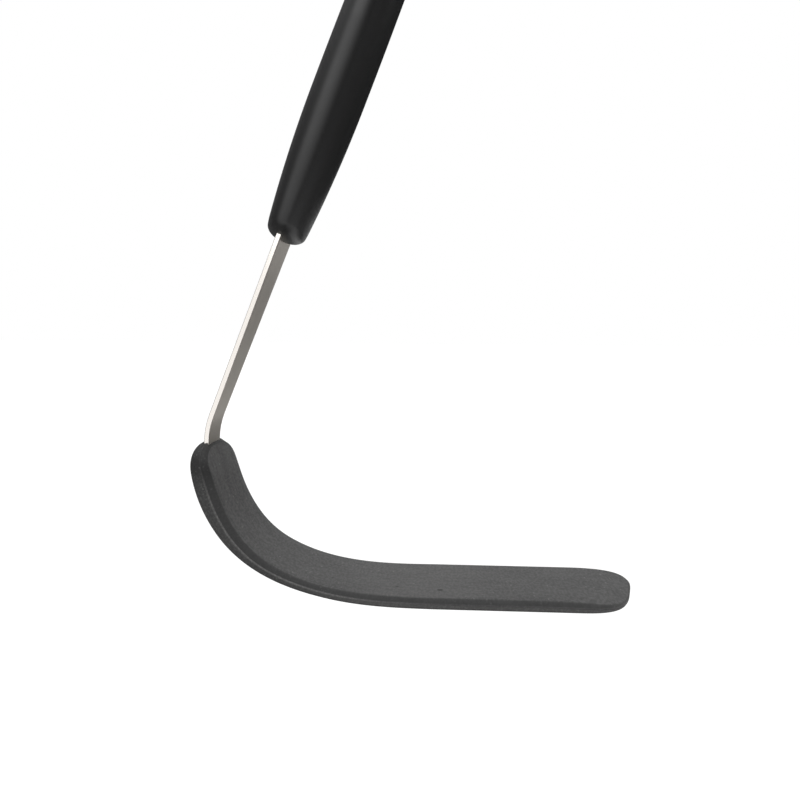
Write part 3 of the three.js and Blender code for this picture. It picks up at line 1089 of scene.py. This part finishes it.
@dataclass(frozen=True)
class Shank:
    """Flat steel shank with its rivets and tang pins."""

    edge_round: float = 0.08
    edge_angle: float = 35.0
    pin_round: float = 0.25
    pin_angle: float = 40.0

    def build(self, strip: SteelFinish, turned: SteelFinish) -> list[Piece]:
        """Dress the shank, the rivets and the pins.

        Args:
            strip: Finish of the shank.
            turned: Finish of the rivets and the pins.

        Returns:
            The dressed nodes.
        """
        shank = dress_node("shank", strip.material())
        soften(shank, self.edge_round, self.edge_angle)
        pieces = [shank]
        turned_steel = turned.material()
        for name in ("core_rivet_upper", "core_rivet_lower", "tang_pin_front", "tang_pin_rear"):
            piece = dress_node(name, turned_steel)
            soften(piece, self.pin_round, self.pin_angle)
            pieces.append(piece)
        return pieces


@dataclass(frozen=True)
class Handle:
    """Handle: a soft sleeve over a hard core whose boss lines the hanging slot."""

    line: Centreline
    length: float = 118.5
    offset: float = 0.15
    swell_place: float = 45.0
    heights: Triple = (10.3, 15.2, 13.0)
    widths: Triple = (23.0, 28.0, 25.0)
    front_round: float = 3.2
    front_side_round: float = 5.5
    front_side_power: float = 2.0
    rear_round: float = 10.0
    section_power: float = 2.2
    sleeve_thickness: float = 1.8
    slot_length: float = 16.0
    slot_width: float = 8.0
    slot_end: float = 16.0
    slot_wall: float = 2.2
    fit_gap: float = 0.3
    rim_round: float = 0.5
    core_angle: float = 50.0
    side_steps: int = 14
    crown_steps: int = 10
    front_steps: int = 20
    middle_steps: int = 40
    ease_steps: int = 12
    hole_steps: int = 32
    rear_steps: int = 16
    rim_steps: int = 4
    crown_angle: float = math.radians(58)
    ease: float = 12.0

    @property
    def slot_place(self) -> float:
        """Middle of the hanging slot behind the handle's front."""
        return self.length - self.slot_end

    @property
    def hole_half_width(self) -> float:
        """Half width of the sleeve's hole where its rim starts to round."""
        return self.slot_width / 2 + self.slot_wall + self.fit_gap + self.rim_round

    @property
    def hole_half_length(self) -> float:
        """Half length of the sleeve's hole where its rim starts to round."""
        return self.hole_half_width + (self.slot_length - self.slot_width) / 2

    def half(self, along: float, sizes: Triple, front_round: float, front_power: float) -> float:
        """Half size of the handle at a place behind its front.

        Args:
            along: Place behind the front.
            sizes: Size at the front, at the swell and at the rear.
            front_round: Length over which the front is rounded.
            front_power: Power of the superellipse that rounds the front.

        Returns:
            Half the size, closed in where an end is rounded.
        """
        forward = along < self.swell_place
        reach = self.swell_place if forward else self.length - self.swell_place
        share = abs(along - self.swell_place) / reach
        full = between(sizes[1], sizes[0] if forward else sizes[2], share**2) / 2
        front = clamp((front_round - along) / front_round)
        rear = clamp((along - self.length + self.rear_round) / self.rear_round)
        closing = (1 - front**front_power) ** (1 / front_power)
        return full * closing * math.sqrt(1 - rear**2)

    def half_height(self, along: float) -> float:
        """Half height of the handle at a place behind its front."""
        return self.half(along, self.heights, self.front_round, self.section_power)

    def half_width(self, along: float) -> float:
        """Half width of the handle at a place behind its front."""
        return self.half(along, self.widths, self.front_side_round, self.front_side_power)

    def surface(self, along: float, angle: float) -> Pair:
        """Point of the handle's surface.

        Args:
            along: Place behind the front.
            angle: Angle round the handle.

        Returns:
            Offset and place across.
        """
        power = 2 / self.section_power
        offset = self.offset + self.half_height(along) * signed_power(math.sin(angle), power)
        return offset, self.half_width(along) * signed_power(math.cos(angle), power)

    def hole_half(self, along: float) -> float:
        """Half width of the sleeve's hole at a place behind the front."""
        beyond = max(0.0, abs(along - self.slot_place) - self.hole_half_length + self.hole_half_width)
        return math.sqrt(max(0.0, self.hole_half_width**2 - beyond**2))

    def rim_angle(self, along: float) -> float:
        """Angle round the handle at which the crown starts: at the hole's rim, beside the hole.

        Args:
            along: Place behind the front.

        Returns:
            The angle.
        """
        beyond = abs(along - self.slot_place) - self.hole_half_length
        if beyond >= 0:
            return between(QUARTER_TURN, self.crown_angle, smooth(beyond / self.ease))
        share = self.hole_half(along) / self.half_width(along)
        return math.acos(share ** (self.section_power / 2))

    def stations(self) -> tuple[list[float], list[float], list[float]]:
        """Lay out the rows of the sleeve.

        Returns:
            Places of the rows before, beside and behind the hole.
        """
        hole_front = self.slot_place - self.hole_half_length
        hole_rear = self.slot_place + self.hole_half_length
        rear_end = self.length - self.rear_round
        front_curve = end_curve(self.front_side_power, self.front_steps)
        front = [self.front_side_round * (1 - reach) for reach, _ in front_curve][::-1]
        middle = spread(self.front_side_round, hole_front - self.ease, self.middle_steps)[1:]
        ease = spread(hole_front - self.ease, hole_front, self.ease_steps)[1:-1]
        turns = spread(0, math.pi, self.hole_steps)
        hole = [self.slot_place - self.hole_half_length * math.cos(turn) for turn in turns]
        first = math.asin((hole_rear - rear_end) / self.rear_round)
        turns = spread(first, QUARTER_TURN, self.rear_steps)
        rear = [rear_end + self.rear_round * math.sin(turn) for turn in turns]
        return front + middle + ease, hole, rear[1:]

    def ring_angles(self, along: float) -> list[float]:
        """Lay out a row's points: side, crown and side of the upper half, then of the lower half.

        Args:
            along: Place of the row behind the front.

        Returns:
            Angles of the points.
        """
        rim = self.rim_angle(along)
        half = spread(0, rim, self.side_steps)[:-1]
        half += spread(rim, math.pi - rim, self.crown_steps)[:-1]
        half += spread(math.pi - rim, math.pi, self.side_steps)[:-1]
        return half + [math.pi + angle for angle in half]

    def sleeve_mesh(self) -> Mesh:
        """Loft the sleeve's rows, with a round-rimmed hole on each broad side.

        Returns:
            The skin of the sleeve.
        """
        made = bmesh.new()
        before, beside, behind = self.stations()
        rings = []
        for along in before + beside + behind:
            distance = self.line.handle_front - along
            points = [self.surface(along, angle) for angle in self.ring_angles(along)]
            rings.append([made.verts.new(self.line.place(distance, *point)) for point in points])
        first = len(before)
        last = first + len(beside) - 1
        half_count = len(rings[0]) // 2
        crown = range(self.side_steps, self.side_steps + self.crown_steps)
        open_faces = {*crown, *(half_count + i for i in crown)}
        for row, (lower, upper) in enumerate(zip(rings, rings[1:])):
            bridge(made, lower, upper, open_faces if first <= row < last else ())
        for upward in (1, -1):
            start = self.side_steps if upward > 0 else half_count + self.side_steps
            near = [rings[row][start] for row in range(first, last + 1)]
            far = [rings[row][start + self.crown_steps] for row in range(first, last + 1)]
            self.rim(made, near + far[-2:0:-1], beside, upward)
        close_mesh(made)
        return made

    def rim(self, made: Mesh, edge: Ring, places: list[float], upward: int) -> None:
        """Round the rim of the sleeve's hole and take it down to the core.

        Args:
            made: The sleeve's bmesh.
            edge: Points of the hole's edge, along one side and back along the other.
            places: Rows beside the hole, from its front to its rear.
            upward: 1 on the upper broad side and -1 on the lower one.
        """
        straight = self.hole_half_length - self.hole_half_width
        near = [(along, upward * self.hole_half(along)) for along in places]
        outline = near + [(along, -across) for along, across in near[-2:0:-1]]
        steps = [(self.rim_round * math.sin(turn), self.rim_round * (1 - math.cos(turn)))
                 for turn in spread(0, QUARTER_TURN, self.rim_steps)[1:]]
        steps.append((self.rim_round, self.sleeve_thickness))
        ring = edge
        for inset, drop in steps:
            inner = []
            for along, across in outline:
                beyond = along - self.slot_place
                middle = max(-straight, min(straight, beyond))
                outward = Vector((beyond - middle, across)).normalized()
                side = clamp(abs(across) / self.half_width(along))
                angle = math.acos(side ** (self.section_power / 2))
                offset = self.surface(along, upward * angle)[0] - upward * drop
                distance = self.line.handle_front - along + inset * outward.x
                point = self.line.place(distance, offset, across - inset * outward.y)
                inner.append(made.verts.new(point))
            bridge(made, ring, inner)
            ring = inner

    def build(self, grip: SoftGripFinish, plastic: MouldedPlasticFinish) -> list[Piece]:
        """Make the sleeve and dress the core.

        Args:
            grip: Finish of the sleeve.
            plastic: Finish of the core.

        Returns:
            The sleeve and the core.
        """
        sleeve = mesh_object("grip_cover", self.sleeve_mesh())
        sleeve.data.materials.append(grip.material())
        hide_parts("grip_sleeve")
        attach(sleeve, Body.HANDLE.value)
        core = dress_node("handle_core", plastic.material())
        soften(core, self.fit_gap, self.core_angle)
        return [sleeve, core]


@dataclass(frozen=True)
class Lamp:
    """Large soft lamp far from the object."""

    name: str
    azimuth: float
    elevation: float
    strength: float
    spread: float

    def build(self) -> None:
        """Hang the lamp: azimuth turns from the camera's side to +X, elevation is over the horizon."""
        data = bpy.data.lights.new(self.name, "SUN")
        data.energy = self.strength
        data.angle = math.radians(self.spread)
        made = bpy.data.objects.new(self.name, data)
        turn = math.radians(self.azimuth)
        rise = math.radians(self.elevation)
        level = math.cos(rise)
        towards = Vector((math.sin(turn) * level, -math.cos(turn) * level, math.sin(rise)))
        made.location = towards
        made.rotation_mode = "QUATERNION"
        made.rotation_quaternion = towards.to_track_quat("Z", "Y")
        bpy.context.scene.collection.objects.link(made)


@dataclass(frozen=True)
class FeltFinish(Finish):
    """Plain matt grey."""

    name: str
    shade: float

    def shader(self, graph: Graph) -> Value:
        """Add the one node of the felt."""
        return graph.node("ShaderNodeBsdfDiffuse", {}, {"Color": even(self.shade)})


@dataclass(frozen=True)
class Card:
    """Curved grey card that shows only in reflections, as a flag does beside a product."""

    name: str
    start: float
    end: float
    top: float
    shade: float
    bottom: float = -390.0
    radius: float = 900.0
    inner: float = 900.0
    steps: int = 16

    def build(self) -> None:
        """Stand the card round the object between two angles that turn from +X towards +Y.

        A card with a smaller inner radius also lies on the ground, from its foot to that radius.
        """
        made = bmesh.new()
        profile = [(self.radius, self.top), (self.radius, self.bottom)]
        if self.inner < self.radius:
            profile.append((self.inner, self.bottom))
        columns = []
        for angle in spread(self.start, self.end, self.steps):
            turn = math.radians(angle)
            outward = Vector((math.cos(turn), math.sin(turn), 0))
            points = [outward * reach + Vector((0, 0, height)) for reach, height in profile]
            columns.append([made.verts.new(point * MILLIMETRE) for point in points])
        for left, right in zip(columns, columns[1:]):
            for i in range(len(profile) - 1):
                made.faces.new((left[i], right[i], right[i + 1], left[i + 1]))
        card = mesh_object(self.name, made)
        card.data.materials.append(FeltFinish(self.name, self.shade).material())
        card.visible_camera = False
        card.visible_diffuse = False
        card.visible_transmission = False
        card.visible_shadow = False


@dataclass(frozen=True)
class Studio:
    """White surroundings, a pale floor well below the held spatula, and soft lamps."""

    floor_drop: float = 400.0
    floor_size: float = 60000.0
    floor_cells: int = 4
    ambient: float = 0.15
    lamps: tuple[Lamp, ...] = (
        Lamp("top_lamp", azimuth=180.0, elevation=74.0, strength=1.8, spread=60.0),
        Lamp("right_lamp", azimuth=85.0, elevation=20.0, strength=0.9, spread=60.0),
        Lamp("front_lamp", azimuth=-14.0, elevation=34.0, strength=0.85, spread=50.0),
    )
    cards: tuple[Card, ...] = (
        Card("right_card", start=-65.0, end=40.0, top=900.0, shade=0.05),
        Card("rim_card", start=40.0, end=66.0, top=300.0, shade=0.1),
        Card("back_card", start=66.0, end=86.0, top=20.0, shade=0.22),
        Card("left_card", start=100.0, end=215.0, top=900.0, shade=0.3, inner=60.0),
        Card(
            "ground_card", start=215.0, end=300.0, top=-389.0, shade=0.05, radius=380.0, inner=60.0,
        ),
        Card(
            "grip_flag", start=58.0, end=112.0, top=300.0, shade=0.04, bottom=104.0, radius=130.0,
        ),
    )

    def build(self) -> None:
        """Build the world, the floor, the cards and the lamps."""
        scene = bpy.context.scene
        scene.view_settings.view_transform = "Standard"
        world = bpy.data.worlds.new("studio")
        world.use_nodes = True
        scene.world = world
        graph = Graph(world.node_tree)
        colour = graph.mix(background_rays(graph), even(self.ambient), even(1.0))
        background = graph.node("ShaderNodeBackground", {}, {"Color": colour})
        graph.node("ShaderNodeOutputWorld", {}, {"Surface": background})
        made = bmesh.new()
        cells = self.floor_cells
        half = self.floor_size * MILLIMETRE / 2
        bmesh.ops.create_grid(made, x_segments=cells, y_segments=cells, size=half)
        floor = mesh_object("studio_floor", made)
        floor.location.z = -self.floor_drop * MILLIMETRE
        floor.data.materials.append(FloorFinish().material())
        for card in self.cards:
            card.build()
        for lamp in self.lamps:
            lamp.build()


@dataclass(frozen=True)
class PhotoCamera:
    """Camera at the photograph's place, level of zoom and viewing angle."""

    place: Triple = (-27.73, -240.0, 78.93)
    right: Triple = (0.9985, 0.0541, 0.0086)
    forward: Triple = (-0.0532, 0.9950, -0.0850)
    lens: float = 36.0
    sensor: float = 36.0

    def build(self) -> None:
        """Make the camera and set it as the scene's camera."""
        data = bpy.data.cameras.new("photo_camera")
        data.lens = self.lens
        data.sensor_width = self.sensor
        data.clip_start = MILLIMETRE
        made = bpy.data.objects.new("photo_camera", data)
        forward = Vector(self.forward).normalized()
        right = (Vector(self.right) - forward * forward.dot(Vector(self.right))).normalized()
        axes = Matrix((right, right.cross(forward), -forward)).transposed()
        made.matrix_world = Matrix.LocRotScale(Vector(self.place) * MILLIMETRE, axes, None)
        bpy.context.scene.collection.objects.link(made)
        bpy.context.scene.camera = made


def report(pieces: Iterable[Piece]) -> None:
    """Log each piece with the number of its faces."""
    for piece in pieces:
        LOG.info("%s: %d faces", piece.name, len(piece.data.polygons))


def main() -> None:
    """Build the studio, the camera and the pieces, and report each piece."""
    logging.basicConfig(level=logging.INFO, format="%(name)s %(message)s")
    Studio().build()
    PhotoCamera().build()
    line = Centreline()
    blade = Blade(line)
    # The shank's bright edge colour is partly a painted highlight.
    strip = SteelFinish(
        "shank_steel", face=(0.49, 0.45, 0.395), edge=(0.86, 0.82, 0.775), stain=(0.415, 0.38, 0.33),
        along=(math.sin(line.shank_tilt), 0.0, math.cos(line.shank_tilt)), roughness=0.34,
    )
    turned = SteelFinish(
        "pin_steel", face=(0.6, 0.58, 0.55), edge=(0.6, 0.58, 0.55), stain=(0.5, 0.48, 0.45),
        along=(0.0, 1.0, 0.0), roughness=0.28,
    )
    spring = SteelFinish(
        "spring_steel", face=(0.3, 0.3, 0.32), edge=(0.4, 0.4, 0.41), stain=(0.2, 0.21, 0.26),
        along=(1.0, 0.0, 0.0), roughness=0.3,
    )
    report([blade.build(SiliconeFinish())])
    report([SpringLeaf(blade).build(spring)])
    report(Shank().build(strip, turned))
    report(Handle(line).build(SoftGripFinish(), MouldedPlasticFinish()))


if __name__ == "__main__":
    main()
